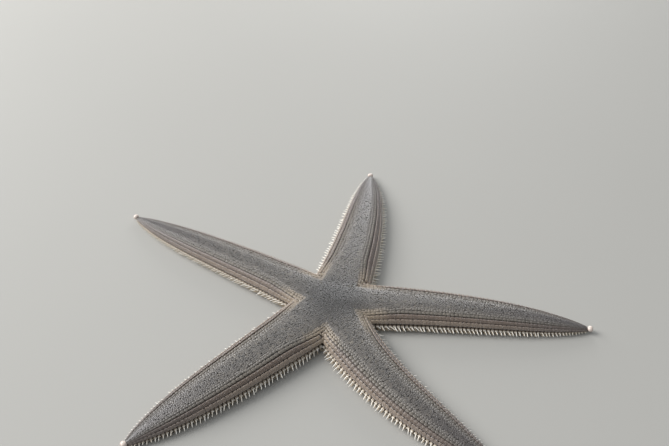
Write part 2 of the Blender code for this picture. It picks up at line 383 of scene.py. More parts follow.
class Finish:
    """A finish of one group of pieces: a Principled shader and the nodes that feed it."""

    def __init__(self, name, **constants):
        self.material = bpy.data.materials.new(name)
        self.material.use_nodes = True
        self.tree = self.material.node_tree
        self.shader = self.tree.nodes["Principled BSDF"]
        for socket, value in constants.items():
            self.shader.inputs[socket.replace("_", " ")].default_value = value

    def node(self, kind, settings, inputs, output=0):
        """Adds a node, its settings first, and gives one of its outputs."""
        made = self.tree.nodes.new(kind)
        for key, value in settings.items():
            if key == "stops":
                while len(made.color_ramp.elements) < len(value):
                    made.color_ramp.elements.new(1.0)
                for element, (place, colour) in zip(made.color_ramp.elements, value):
                    element.position = place
                    element.color = colour
            else:
                setattr(made, key, value)
        for key, value in inputs.items():
            if isinstance(value, Value):
                self.tree.links.new(value.socket, made.inputs[key])
            else:
                made.inputs[key].default_value = value
        return Value(self, made.outputs[output])

    def told(self, name):
        """A number that the mesh carries under that name."""
        return self.node("ShaderNodeAttribute", {"attribute_name": name}, {}, output="Fac")

    def mottle(self, size, detail=3.0):
        """Cloudy unevenness from 0 to 1, of patches about size across."""
        place = self.node("ShaderNodeTexCoord", {}, {}, output="Object")
        scales = {"Vector": place, "Scale": 1 / size, "Detail": detail}
        return self.node("ShaderNodeTexNoise", {}, scales)

    def ramp(self, factor, stops):
        """A colour read off a scale of them."""
        return self.node("ShaderNodeValToRGB", {"stops": stops}, {"Fac": factor})

    def between(self, name, low, high):
        """What the mesh carries under a name, rescaled smoothly from low, as 0, to high, as 1."""
        settings = {"interpolation_type": "SMOOTHSTEP"}
        limits = {"Value": self.told(name), "From Min": low, "From Max": high}
        return self.node("ShaderNodeMapRange", settings, limits)

    def blend(self, factor, first, second):
        """A colour between two others."""
        colours = {0: factor, 6: first, 7: second}
        return self.node("ShaderNodeMix", {"data_type": "RGBA"}, colours, output=2)

    def shade(self, colour, light):
        """A colour made lighter or darker by a number."""
        grey = self.node("ShaderNodeCombineColor", {}, {0: light, 1: light, 2: light})
        settings = {"data_type": "RGBA", "blend_type": "MULTIPLY"}
        return self.node("ShaderNodeMix", settings, {0: 1.0, 6: colour, 7: grey}, output=2)

    def bump(self, height, depth):
        return self.node("ShaderNodeBump", {}, {"Height": height, "Distance": depth})

    def finished(self, **fed):
        """Feeds the shader's sockets and gives the material."""
        for socket, value in fed.items():
            self.tree.links.new(value.socket, self.shader.inputs[socket.replace("_", " ")])
        return self.material


def tint(red, green, blue):
    """A colour from its 0 to 255 display values, as the shader's linear one."""
    return (*[((c / 255 + 0.055) / 1.055) ** 2.4 for c in (red, green, blue)], 1.0)


def skin_finish():
    finish = Finish("wet skin", Roughness=0.5)
    cloud = finish.mottle(3 * MM)
    # Dark brown by the margins: partly the skin's own colour, partly painted shadow in the lines between the
    # rows and on the margins' walls.
    side = finish.blend(cloud, tint(52, 40, 32), tint(72, 58, 48))
    middle = finish.blend(cloud, tint(92, 87, 82), tint(106, 101, 95))
    back = finish.blend(finish.between("inward", 0.36, 0.52), side, middle)
    belly = finish.blend(finish.mottle(1.2 * MM), tint(142, 118, 92), tint(166, 144, 116))
    belly = finish.blend(finish.between("hollow", 0.2, 0.9), belly, tint(112, 76, 58))
    colour = finish.blend(finish.told("above"), belly, back)
    return finish.finished(Base_Color=colour, Normal=finish.bump(finish.mottle(0.35 * MM), 0.1 * MM))


CENTRE = place_arms()
find_axils()
skin = make_skin()
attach(skin, "root")
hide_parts("disc", *("arm_" + arm.name for arm in ARMS))

# ---- Side paxillae -------------------------------------------------------------------------------------
# Rows of paxillae run along both sides of every arm: short limy columns, each with a squarish crown of fine
# spinelets. Two rows of large tan ones lie next to the margin, then a row of pale round ones, then smaller.

ARM_SIDES = [(arm, side) for arm in ARMS for side in (LEFT, RIGHT)]
PATCH = 0.003
PLATE_PITCH = 1.75 * MM
PLATE_PITCH_AT_TIP = 1.1 * MM
END_GAP = 0.3 * MM
INWARD_SHARES = np.sin(np.linspace(np.pi / 2, 0, 160))
AXIL_GLOW = 7 * MM
NARROWED = 0.76
NARROWED_OVER = 12 * MM
SURFACE_STEP = 0.4 * MM
SURFACE_SHARE_STEP = 0.02
TOLD = ("tone", "lot", "along", "inward")


class Shape:
    """A small closed shape to be copied: its points, its triangles and how far each point is darkened,
    mostly as painted shade at its foot and in its hollows.
    """

    def __init__(self):
        self.points = []
        self.faces = []
        self.tone = []

    def ring(self, points, tone):
        """Adds points, with one darkening for all or one for each, and gives their numbers."""
        start = len(self.points)
        self.points += [tuple(p) for p in points]
        self.tone += list(np.broadcast_to(tone, len(points)))
        return list(range(start, len(self.points)))

    def close(self, rings, point, tone):
        """Joins rings, counter-clockwise seen from above, from a floor up to a fan that ends in a point."""
        for lower, upper in zip(rings, rings[1:]):
            for i in range(len(lower)):
                j = (i + 1) % len(lower)
                self.faces += [(lower[i], lower[j], upper[j]), (lower[i], upper[j], upper[i])]
        first, last = rings[0], rings[-1]
        top = self.ring([point], tone)[0]
        self.faces += [(last[i - 1], last[i], top) for i in range(len(last))]
        self.faces += [(first[0], first[i + 1], first[i]) for i in range(1, len(first) - 1)]

    def granule(self, middle, radius, height, turn):
        """A blunt four-sided spinelet standing on the shape, darker at its foot as painted shade."""
        x, y, z = middle
        rings = []
        for wide, high, tone in ((1.0, 0.0, 0.3), (0.85, 0.7, 0.8)):
            out = wide * radius
            angles = [turn + math.pi * i / 2 for i in range(4)]
            ring = [(x + out * math.cos(t), y + out * math.sin(t), z + high * height) for t in angles]
            rings.append(self.ring(ring, tone))
        self.close(rings, (x, y, z + height), 1.0)


class Coat:
    """One piece made of many copies of small shapes, joined in one mesh with a bake patch for each copy."""

    def __init__(self, draw):
        self.draw = draw
        self.points = []
        self.faces = []
        self.patches = []
        self.told = {name: [] for name in TOLD}
        self.count = 0

    def add(self, shape, places, frames, sizes, roots, along, inward=0.0):
        """Copies a shape to places, turned by frames (rows are its x, y and z) and stretched by sizes."""
        if not len(places):
            return
        points = np.array(shape.points)
        spread = points[:, :2] * (1.2 - 0.4 * points[:, 2:] / max(points[:, 2].max(), 0.01))
        spread = (spread - spread.min(axis=0)) / np.ptp(spread, axis=0) - 0.5
        size = len(points)
        copies = np.einsum("npi,nij->npj", points[None] * sizes[:, None], frames) + places[:, None]
        self.points.append(copies.reshape(-1, 3))
        numbers = np.arange(len(places)) * size + self.count
        self.faces.append((np.array(shape.faces)[None] + numbers[:, None, None]).reshape(-1, 3))
        self.patches.append((roots[:, None] + PATCH * spread[None]).reshape(-1, 2))
        self.told["tone"].append(np.tile(shape.tone, len(places)))
        lot = self.draw.random(len(places))
        for name, values in zip(TOLD[1:], (lot, along, inward)):
            self.told[name].append(np.repeat(np.broadcast_to(values, len(places)), size))
        self.count += size * len(places)

    def build(self, name, paint, slot):
        """Makes the piece."""
        points = np.concatenate(self.points)
        faces = np.concatenate(self.faces).astype(np.int32)
        mesh = bpy.data.meshes.new(name)
        mesh.vertices.add(len(points))
        mesh.vertices.foreach_set("co", points.astype(np.float32).ravel())
        mesh.loops.add(faces.size)
        mesh.loops.foreach_set("vertex_index", faces.ravel())
        mesh.polygons.add(len(faces))
        mesh.polygons.foreach_set("loop_start", np.arange(0, faces.size, 3, dtype=np.int32))
        told = {name: np.concatenate(values) for name, values in self.told.items()}
        told["corner"] = near_axil(points[:, :2])
        piece = dress(mesh, np.concatenate(self.patches), told, paint)
        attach(piece, "root")


def dress(mesh, patches, told, paint):
    """Makes a mesh of the coat a piece, with its bake patches, its finish and what its points tell that."""
    mesh.update(calc_edges=True)
    corners = np.zeros(len(mesh.loops), np.int32)
    mesh.loops.foreach_get("vertex_index", corners)
    layer = mesh.uv_layers.new(name="OFBake")
    layer.data.foreach_set("uv", patches[corners].astype(np.float32).ravel())
    tell(mesh, told)
    return stand(mesh, paint)


def near_axil(plan):
    """1 at the corners between two arms, fading to 0 a few millimetres from them; it paints the crowns there
    paler, partly as painted highlight.
    """
    nearest = np.min([np.hypot(*(plan - arm.corner()).T) for arm in ARMS], axis=0)
    return np.clip(1.25 - nearest / AXIL_GLOW, 0, 1)


def unwrapped(arm, s, around):
    """Places on the skin laid out flat, one strip for each arm.

    around goes from -1 at the groove by -0.5 at the right margin, 0 on the back's midline and 0.5 at the
    left margin to 1 at the groove again.
    """
    strip = (ARMS.index(arm) + 0.5 + 0.47 * around) / len(ARMS)
    return np.column_stack([0.02 + 0.96 * s / LONGEST, strip + 0 * s])


def unit(vectors):
    return vectors / np.linalg.norm(vectors, axis=1, keepdims=True)


def standing_on(arm, s, share):
    """Places on the coat's surface and their frames: along the arm, to its left, and outward."""
    ahead = unit(cover(arm, s + SURFACE_STEP, share) - cover(arm, s - SURFACE_STEP, share))
    left = cover(arm, s, share + SURFACE_SHARE_STEP) - cover(arm, s, share - SURFACE_SHARE_STEP)
    out = unit(np.cross(ahead, left))
    return cover(arm, s, share), np.stack([ahead, np.cross(out, ahead), out], axis=1)


def share_at(arm, s, inward):
    """Share of the half breadth that lies a distance inward from the margin, measured over the back."""
    us = arm.half_breadth(s)[:, None] * INWARD_SHARES[None]
    zs = arm.arch(s[:, None], INWARD_SHARES[None])
    walked = np.cumsum(np.hypot(np.diff(us, prepend=us[:, :1]), np.diff(zs, prepend=zs[:, :1])), axis=1)
    return np.array([np.interp(d, row, INWARD_SHARES) for d, row in zip(inward, walked)])


def row_room(arm, side, s):
    """How wide the rows are at s against their full width: less towards the tip and by the axil."""
    widened = np.clip((s - arm.axil[side]) / NARROWED_OVER, 0, 1)
    return arm.thickness(s) * (NARROWED + (1 - NARROWED) * widened)


def pitch_at(arm, s):
    wide = np.minimum(1, arm.half_breadth(s) / FULL_HALF_BREADTH)
    return PLATE_PITCH_AT_TIP + (PLATE_PITCH - PLATE_PITCH_AT_TIP) * wide


def plate_centres(arm, side):
    """Lengths along the arm of the marginal plates of one side, from the axil to the tip."""
    end = arm.reach - TIP_PLATE_LENGTH - END_GAP
    edges = [arm.axil[side]]
    while edges[-1] < end:
        edges.append(edges[-1] + pitch_at(arm, edges[-1]))
    edges = arm.axil[side] + (np.array(edges) - edges[0]) * (end - edges[0]) / (edges[-1] - edges[0])
    return (edges[1:] + edges[:-1]) / 2


def row_centres(arm, side, inward):
    """The same for a row further in, carried on over the disc to the corner where it meets the next arm's."""
    outer = plate_centres(arm, side)
    s = np.arange(outer[0], 1 * MM, -FINE_STEP)
    share = side * share_at(arm, s, inward * row_room(arm, side, s))
    owner, _ = arm_at(arm.plan(s, share * arm.half_breadth(s)))
    corner = s[(owner != ARMS.index(arm)).argmax()]
    count = max(1, round((outer[0] - corner) / PLATE_PITCH))
    inner = corner + (outer[0] - corner) * np.arange(count) / count
    return np.concatenate([inner, outer])


# The rims of a crown from its foot up: radius, how far the valleys between spinelets cut in, height, how
# far the valleys sag, and how pale it is painted: the darker foot is painted shade.
CROWN_RIMS = ((0.62, 0.08, 0.0, 0.0, 0.0), (1.0, 0.17, 0.70, 0.08, 0.8), (0.84, 0.20, 0.93, 0.12, 1.0))
# Painted shade in the valleys between the spinelets.
VALLEY_SHADE = 0.6
GRANULE_RADIUS = 0.165


def squared(angle, squareness):
    """How far out a rounded square reaches at an angle, against the circle within it."""
    return (abs(np.cos(angle)) ** squareness + abs(np.sin(angle)) ** squareness) ** (-1 / squareness)


def crown(lobes, squareness, top, granules, seed, relief=1.0, fluting=1.0):
    """A paxilla: a column that opens into a fluted rim of spinelets round a cluster of granules.

    It is 2 long, 2 wide and 1 high, top is the height of its middle, and granules is a list of (radius of
    their ring, how many). A smaller relief gives it a flatter top, a smaller fluting a rounder rim.
    """
    draw = np.random.default_rng(seed)
    shape = Shape()
    angles = 2 * np.pi * (np.arange(2 * lobes) + 0.5) / (2 * lobes)
    outline = squared(angles, squareness) * (1 + 0.05 * draw.standard_normal(2 * lobes))
    valley = np.arange(2 * lobes) % 2
    rims = []
    for radius, flute, z, sag, tone in CROWN_RIMS:
        reach = radius * outline * (1 - fluting * flute * valley)
        z = 1 - relief * (1 - z) if z else 0.0
        ring = np.column_stack([reach * np.cos(angles), reach * np.sin(angles), z - relief * sag * valley])
        rims.append(shape.ring(ring, tone * (1 - VALLEY_SHADE * valley)))
    shape.close(rims, (0, 0, top), 0.8)
    for radius, count in granules:
        for i in range(count):
            turn = 2 * math.pi * (i + 0.3 * draw.random()) / count
            away = radius * squared(turn, squareness) * (1 + 0.1 * draw.standard_normal())
            middle = (away * math.cos(turn), away * math.sin(turn), top - 0.06)
            shape.granule(middle, GRANULE_RADIUS, 0.22 + 0.08 * draw.random(), turn)
    return shape


# The film of water on the crowns, which brightens them where they are seen at a low angle.
FILM = {"Sheen_Roughness": 0.45, "Sheen_Tint": (0.94, 0.96, 1.0, 1.0)}


def paxilla_finish(name, sheen, shaded_side, low, high, dusky):
    """Crowns: painted shade down their sides, pale at the spinelets' ends, duskier towards the tip of the
    arm.
    """
    finish = Finish(name, Coat_Weight=0.35, Coat_Roughness=0.28, Sheen_Weight=sheen, **FILM)
    paint = finish.blend(finish.told("lot"), low, high)
    cloud = finish.mottle(4 * MM)
    paint = finish.blend(finish.between("along", 0.45, 1.0) * (0.6 + 0.5 * cloud), paint, dusky)
    # Paler and tanner at the axils: partly the rows' own tan where they turn the corner, partly painted
    # highlight.
    paint = finish.blend(0.7 * finish.told("corner"), paint, tint(178, 159, 134))
    # Painted shade: the crowns' sides and the valleys between spinelets darken to the shaded side colour.
    paint = finish.blend(finish.told("tone") ** 0.8, shaded_side, paint)
    fine = finish.mottle(0.25 * MM, 2.0)
    return finish.finished(
        Base_Color=finish.shade(paint, 0.85 + 0.3 * fine),
        Roughness=0.4 + 0.15 * fine,
        Normal=finish.bump(fine, 0.05 * MM),
    )


# Each row: its name, how far in from the margin it lies and how wide it is (mm on the fullest part of an
# arm), its length against the plates' pitch, how many to a plate, lobes, squareness and granules.
SIDE_ROWS = [
    ("margin_paxillae", 1.48, 2.34, 1.22, 1, 12, 4.4, [(0.0, 1), (0.34, 4), (0.64, 7)]),
    ("second_paxillae", 3.78, 2.16, 1.34, 1, 12, 4.4, [(0.0, 1), (0.34, 4), (0.64, 7)]),
    ("pale_paxillae", 6.00, 1.62, 1.16, 1, 9, 2.8, [(0.0, 1), (0.5, 5)]),
    ("inner_paxillae", 7.42, 1.42, 1.24, 1.33, 7, 2.4, [(0.3, 3)]),
    ("inmost_paxillae", 8.50, 1.26, 1.24, 1.6, 6, 2.2, [(0.0, 1)]),
]
ROW_LEANS = {"margin_paxillae": 4, "second_paxillae": 12}
ROWS_END = 8.95 * MM
ROW_STRAY = 0.12 * MM
ROW_OVERLAP = 0.3 * MM
MIDLINE_SHARE = 0.12
SIDE_HEIGHT = 0.95 * MM
SIDE_SHOWING = 0.05 * MM
SIDE_CROWN = {"top": 0.94, "relief": 0.5}
CORNER_DEPTH = 10 * MM
CORNER_HALF = 1.2 * MM
CORNER_STEP = 0.15 * MM
CORNER_GAP = 1.0 * MM
CORNER_CROWNS = (0.4 * MM, 0.7 * MM)
CORNER_ROOM = 0.8 * MM

# Each row's finish: its name, how strongly the film shows, the painted shade of its crowns' sides, two
# shades of their tops, and the dusk of the tips.
ROW_FINISHES = {
    "margin_paxillae": ("tan crowns", 0.9, (98, 81, 67), (146, 128, 111), (158, 141, 124), (112, 100, 94)),
    "second_paxillae": ("brown crowns", 0.9, (82, 67, 55), (108, 90, 75), (118, 100, 84), (92, 81, 75)),
    "pale_paxillae": ("pale crowns", 0.3, (80, 72, 63), (102, 94, 83), (114, 105, 93), (90, 83, 78)),
    "inner_paxillae": ("grey-tan crowns", 0.3, (84, 78, 70), (101, 95, 87), (112, 104, 95), (88, 82, 79)),
    "inmost_paxillae": ("grey crowns", 0.3, (84, 79, 73), (99, 93, 86), (108, 101, 93), (87, 82, 79)),
}
ROW_PAINT = {
    name: paxilla_finish(title, sheen, *(tint(*colour) for colour in colours))
    for name, (title, sheen, *colours) in ROW_FINISHES.items()
}


def turned(frames, first, second, angle):
    """Frames with one axis turned towards another, and that one away from it."""
    cos, sin = (np.reshape(part, (-1, 1)) for part in (np.cos(angle), np.sin(angle)))
    made = frames.copy()
    made[:, first] = frames[:, first] * cos + frames[:, second] * sin
    made[:, second] = frames[:, second] * cos - frames[:, first] * sin
    return made


def make_side_rows():
    """Builds the rows and gives where the feet of their crowns stand over the floor."""
    stood = []
    for number, (name, inward, width, length, per_plate, lobes, squareness, granules) in enumerate(SIDE_ROWS):
        draw = np.random.default_rng(40 + number)
        coat = Coat(draw)
        shapes = [crown(lobes, squareness, granules=granules, seed=seed, **SIDE_CROWN) for seed in range(3)]
        for arm, side in ARM_SIDES:
            plates = row_centres(arm, side, inward * MM)
            start = 0 if side == LEFT else 1 / per_plate
            count = round((len(plates) - start) * per_plate)
            s = np.interp(np.linspace(start, len(plates) - 1, count), np.arange(len(plates)), plates)
            s += 0.04 * PLATE_PITCH * draw.standard_normal(count)
            stray = ROW_STRAY * (number > 2) * draw.standard_normal(count)
            share = side * share_at(arm, s, (inward * MM + stray) * row_room(arm, side, s))
            owner, by = arm_at(arm.plan(s, share * arm.half_breadth(s)))
            kept = ((owner == ARMS.index(arm)) | (by < ROW_OVERLAP)) & (np.abs(share) > MIDLINE_SHARE)
            s, share = s[kept], share[kept]
            places, frames = standing_on(arm, s, share)
            frames = turned(frames, 2, 1, side * math.radians(ROW_LEANS.get(name, 0)))
            height = SIDE_HEIGHT * arm.thickness(s) ** 0.6 * (0.95 + 0.1 * draw.random(len(s)))
            places -= frames[:, 2] * (height - SIDE_SHOWING)[:, None]
            stood.append(places[:, :2])
            half = width * MM * row_room(arm, side, s) / 2
            sizes = np.column_stack([pitch_at(arm, s) / per_plate * length / 2, half, height])
            sizes[:, :2] *= 0.97 + 0.06 * draw.random((len(s), 2))
            roots = unwrapped(arm, s, 0.5 * side * (1 - inward / 13))
            which = draw.integers(len(shapes), size=len(s))
            parts = (places, frames, sizes, roots, s / arm.reach, 1 - np.abs(share))
            for i, shape in enumerate(shapes):
                coat.add(shape, *(part[which == i] for part in parts))
        coat.build(name, ROW_PAINT[name], "skin")
    return np.concatenate(stood)


def fill_axils(taken):
    """Round crowns of the size of the gap, in the corners that the rows leave free between two arms."""
    coat = Coat(np.random.default_rng(50))
    shape = crown(9, 2.2, granules=[(0.0, 1), (0.5, 5)], seed=9, **SIDE_CROWN)
    for arm in ARMS:
        corner = arm.corner()
        inward = (CENTRE - corner) / np.linalg.norm(CENTRE - corner)
        aside = np.array([-inward[1], inward[0]])
        depths = np.arange(0.5 * MM, CORNER_DEPTH, CORNER_STEP)
        grid = np.meshgrid(depths, np.arange(-CORNER_HALF, CORNER_HALF, CORNER_STEP))
        onward, across = (part.reshape(-1, 1) for part in grid)
        free = corner + onward * inward + across * aside
        s, u = arm.locate(free)
        share = u / arm.half_breadth(s)
        kept = (share > share_at(arm, s, ROWS_END * row_room(arm, LEFT, s))) & (share < 0.97)
        free, s, share = free[kept], s[kept], share[kept]
        gaps = np.linalg.norm(free[:, None] - taken, axis=2).min(axis=1)
        chosen, room = [], []
        while gaps.max() > CORNER_GAP:
            chosen.append(gaps.argmax())
            room.append(gaps.max())
            gaps = np.minimum(gaps, np.linalg.norm(free - free[chosen[-1]], axis=1))
        s, share = s[chosen], share[chosen]
        radius = np.clip(np.array(room) - CORNER_ROOM, *CORNER_CROWNS)
        places, frames = standing_on(arm, s, share)
        places -= frames[:, 2] * (SIDE_HEIGHT - SIDE_SHOWING)
        sizes = np.column_stack([radius, radius, np.full(len(s), SIDE_HEIGHT)])
        coat.add(shape, places, frames, sizes, unwrapped(arm, s, 0.5 * share), s / arm.reach, 1 - share)
    coat.build("axil_paxillae", ROW_PAINT["pale_paxillae"], "skin")


fill_axils(make_side_rows())

# ---- Back paxillae -------------------------------------------------------------------------------------
# The middle of the arms and the disc are paved with thousands of smaller round paxillae, in no strict order,
# grey with darker and paler ones mixed. They crowd closest on the disc, which is bluish and darker.

BACK_SPACING = 0.66 * MM
BACK_HEIGHT = 0.5 * MM
BACK_SHOWING = 0.04 * MM
LATTICE = 0.3 * MM
LATTICE_HALF = 9 * MM
DISC_RADIUS = 14 * MM
BACK_ZONES = (("midline_paxillae", 0.0, 0.12), ("back_paxillae", 0.12, 0.24), ("flank_paxillae", 0.24, 1.0))
BACK_SHADES = (
    (0.0, tint(84, 79, 74)),
    (0.12, tint(99, 93, 86)),
    (0.5, tint(109, 102, 94)),
    (0.88, tint(119, 111, 101)),
    (1.0, tint(148, 138, 124)),
)


def back_candidates(draw):
    """Places all over the back inside the side rows, in random order: arm, s, share and spacing."""
    found = []
    for i, arm in enumerate(ARMS):
        end = arm.reach - TIP_PLATE_LENGTH
        us = np.arange(-LATTICE_HALF, LATTICE_HALF, LATTICE)
        s, u = (grid.ravel() for grid in np.meshgrid(np.arange(0.2 * MM, end, LATTICE), us))
        s = s + LATTICE * (draw.random(s.size) - 0.5)
        u = u + LATTICE * (draw.random(u.size) - 0.5)
        k = arm.thickness(s)
        share = u / arm.half_breadth(s)
        steps = np.linspace(0, end, 80)
        limits = [
            np.interp(s, steps, share_at(arm, steps, ROWS_END * row_room(arm, side, steps)))
            for side in (LEFT, RIGHT)
        ]
        plan = arm.plan(s, u)
        owner, _ = arm_at(plan)
        kept = (np.abs(share) < np.maximum(np.where(u > 0, *limits), 0.14)) & (owner == i)
        spacing = BACK_SPACING * k**0.45 * (1 - 0.08 * np.exp(-((s / DISC_RADIUS) ** 2)))
        found.append(np.column_stack([np.full(s.size, i), s, share, spacing, plan])[kept])
    found = np.concatenate(found)
    return found[draw.permutation(len(found))]


def spaced_out(found):
    """Drops every place that stands too close to one before it."""
    cell = BACK_SPACING
    taken = {}
    kept = []
    for number, (_, _, _, spacing, x, y) in enumerate(found):
        column, line = int(x // cell), int(y // cell)
        near = [p for i in (-1, 0, 1) for j in (-1, 0, 1) for p in taken.get((column + i, line + j), ())]
        if all((x - a) ** 2 + (y - b) ** 2 > (spacing * 0.86) ** 2 for a, b in near):
            taken.setdefault((column, line), []).append((x, y))
            kept.append(number)
    return found[kept]


def back_finish():
    """Grey crowns, each its own shade, with a darker line of them down the middle, a bluish disc and painted
    shade down their sides.
    """
    finish = Finish("grey back crowns", Coat_Weight=0.3, Coat_Roughness=0.3, Sheen_Weight=0.12, **FILM)
    paint = finish.ramp(finish.told("lot"), BACK_SHADES)
    cloud = finish.mottle(5 * MM)
    tip = finish.between("along", 0.4, 1.0) * (0.45 + 0.5 * cloud)
    paint = finish.blend(tip, paint, tint(102, 92, 92))
    disc = 1 - finish.between("along", 0.0, 0.26)
    dark = (0.35 * finish.between("inward", 0.6, 1.0) * (0.3 + cloud)).at_least(disc)
    paint = finish.blend(0.35 * dark, paint, tint(84, 83, 86))
    paint = finish.shade(paint, 1 - 0.78 * dark)
    # Paler at the axils: partly the animal's own colour, partly painted highlight.
    paint = finish.blend(0.5 * finish.told("corner"), paint, tint(150, 140, 128))
    # Painted shade down the crowns' sides and in the gaps between them.
    paint = finish.blend(finish.told("tone") ** 0.7, tint(92, 87, 82), paint)
    fine = finish.mottle(0.2 * MM, 2.0)
    return finish.finished(
        Base_Color=finish.shade(paint, 0.53 + 0.16 * fine),
        Roughness=0.32 + 0.15 * fine,
        Normal=finish.bump(fine, 0.025 * MM),
    )


def make_back():
    draw = np.random.default_rng(7)
    found = spaced_out(back_candidates(draw))
    shapes = [crown(5, 2.0, 1.02, [], seed, relief=0.4, fluting=0.25) for seed in (11, 12, 13)]
    which = draw.integers(len(shapes), size=len(found))
    away = np.abs(found[:, 2])
    paint = back_finish()
    for name, inner, outer in BACK_ZONES:
        coat = Coat(draw)
        for i, arm in enumerate(ARMS):
            for j, shape in enumerate(shapes):
                mine = (found[:, 0] == i) & (which == j) & (away >= inner) & (away < outer)
                _, s, share, spacing, _, _ = found[mine].T
                places, frames = standing_on(arm, s, share)
                frames = turned(frames, 0, 1, 2 * np.pi * draw.random(len(s)))
                height = BACK_HEIGHT * arm.thickness(s) ** 0.6 * (0.85 + 0.25 * draw.random(len(s)))
                places -= frames[:, 2] * (height - BACK_SHOWING)[:, None]
                radius = spacing * (0.72 + 0.10 * draw.random(len(s)))
                roots = unwrapped(arm, s, 0.5 * share)
                sizes = np.column_stack([radius, radius, height])
                coat.add(shape, places, frames, sizes, roots, s / arm.reach, 1 - np.abs(share))
        coat.build(name, paint, "skin")


make_back()

# ---- Marginal plates -----------------------------------------------------------------------------------
# A row of stout cream plates edges every arm, one to each pair of side paxillae. Each wraps round the margin
# and runs on below as a low rib to the groove; fine flattened spinelets cover its outer face.

RIB_INNER = 4.3 * MM
RIB_INNER_SHARE = 0.7
RIB_RISE = 0.5 * MM
RIB_STEPS = 14
RIB_SQUARENESS = 16
RIB_BELOW = 0.27 * MM
# A rib's section from edge to edge: how far across and how high, against half its breadth and its height.
RIB_PROFILE = ((-1.0, 0.0), (-0.8, 0.72), (0.0, 1.0), (0.8, 0.72), (1.0, 0.0))
PLATE_WAIST = 0.5
WAIST_PINCH = 0.22
PLATE_SHARE = 0.9
SHORTEST_RIB = 0.9 * MM


def rib_shape():
    """The section of a rib at each step along it: how far across and how high each of its points lies.

    It is lower and narrower at the ends, and narrower on the margin, so that the dark skin, partly painted
    shadow, shows between the plates.
    """
    rows = []
    for y in np.linspace(0, 1, RIB_STEPS):
        swell = 1 - (2 * y - 1) ** RIB_SQUARENESS
        swell *= 1 - WAIST_PINCH * max(0.0, 1 - y / PLATE_WAIST)
        rows.append([(x * (0.7 + 0.3 * swell), z * (0.25 + 0.75 * swell)) for x, z in RIB_PROFILE])
    return rows


def carried_in(arm, side, start):
    """Lengths along the arm of its plates' centres, carried on inwards at the same pitch to start."""
    outer = plate_centres(arm, side)
    inner = np.arange(outer[0] - PLATE_PITCH, start, -PLATE_PITCH)
    return np.concatenate([inner[::-1], outer])


def rib_centres(arm, side):
    """The same for its ribs, without those that would be too short between disc and axil."""
    centres = carried_in(arm, side, 0)
    shortest = RIB_INNER + SHORTEST_RIB
    return np.array([s for s in centres if s > arm.axil[side] or rib_end(arm, side, s) > shortest])


def rib_end(arm, side, s):
    """How far out the rib at s reaches: to the margin, or to where the next arm's ribs meet it."""
    u = np.arange(RIB_INNER, arm.half_breadth(s), FINE_STEP / 2)
    owner, _ = arm_at(arm.plan(np.full(len(u), s), side * u))
    others = owner != ARMS.index(arm)
    return u[others.argmax()] if others.any() else arm.half_breadth(s)


def margin_path(arm, s, side, inner):
    """Where a rib runs in the arm's section: u, z and the way it faces, from its outer end to inner."""
    k = arm.thickness(s)
    a = rib_end(arm, side, s)
    if s < arm.axil[side]:
        corners = [(a - 0.1 * MM, 0.5 * MM), (a - 0.25 * MM, RIB_BELOW), (inner, 1.2 * RIB_BELOW)]
    else:
        corners = [
            (a - 0.30 * MM * k, 0.92 * MARGIN_TOP * k),
            (a + 0.04 * MM, 0.78 * MARGIN_TOP * k),
            (a + 0.02 * MM, 0.5 * MARGIN_TOP * k),
            (MARGIN_FOOT_AT * a, MARGIN_FOOT * k * 0.85),
            (0.93 * a, 0.50 * MM * k),
            (0.86 * a, 1.2 * RIB_BELOW * k),
            (0.5 * (0.86 * a + inner), RIB_BELOW * k),
            (inner, 1.2 * RIB_BELOW * k),
        ]
    corners = np.array(corners)
    walked = np.concatenate([[0], np.cumsum(np.linalg.norm(np.diff(corners, axis=0), axis=1))])
    steps = np.linspace(0, walked[-1], RIB_STEPS)
    path = np.column_stack([np.interp(steps, walked, corners[:, i]) for i in (0, 1)])
    path[1:-1] = (path[:-2] + 2 * path[1:-1] + path[2:]) / 4
    tangent = unit(np.gradient(path, axis=0))
    out = np.column_stack([-tangent[:, 1], tangent[:, 0]])
    path[:, 1] += arm.lift(s)
    path[:, 0] *= side
    out[:, 0] *= side
    return path, out


def rib_inner(arm, s):
    """Where ribs end beside the groove."""
    return np.minimum(RIB_INNER * arm.thickness(s), RIB_INNER_SHARE * arm.half_breadth(s))


def make_ribs():
    """The marginal plates and their ribs, bent to the arm's section one by one."""
    draw = np.random.default_rng(21)
    points, faces, patches, told = [], [], [], []
    strip = rib_shape()
    width = len(RIB_PROFILE)
    for arm, side in ARM_SIDES:
        for s in rib_centres(arm, side):
            path, out = margin_path(arm, s, side, rib_inner(arm, s))
            half = 0.5 * PLATE_SHARE * pitch_at(arm, s) * (0.96 + 0.08 * draw.random())
            lot = draw.random()
            start = len(points)
            for j, row in enumerate(strip):
                root = unwrapped(arm, np.array([s]), side * (0.5 + 0.5 * j / RIB_STEPS))[0]
                for x, z in row:
                    u, height = path[j] + out[j] * (z - 1) * RIB_RISE * arm.thickness(s)
                    points.append((*arm.plan(np.array([s + x * half]), u)[0], height))
                    patches.append((root[0] + PATCH * x / 2, root[1]))
                    # The rib's height in its section sets how pale it is painted: its low edges take painted
                    # shade.
                    told.append((z, lot, s / arm.reach, j / (RIB_STEPS - 1)))
            shell = [tuple(range(start, start + width))[::-1]]
            shell.append(tuple(range(len(points) - width, len(points))))
            for j in range(RIB_STEPS - 1):
                for i in range(width):
                    a, b = start + j * width + i, start + j * width + (i + 1) % width
                    shell.append((a, b, b + width, a + width))
            faces += shell if side == LEFT else [face[::-1] for face in shell]
    mesh = bpy.data.meshes.new("marginal_plates")
    mesh.from_pydata(points, [], faces)
    piece = dress(mesh, np.array(patches), dict(zip(TOLD, np.array(told).T)), PLATE_PAINT)
    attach(piece, "root")


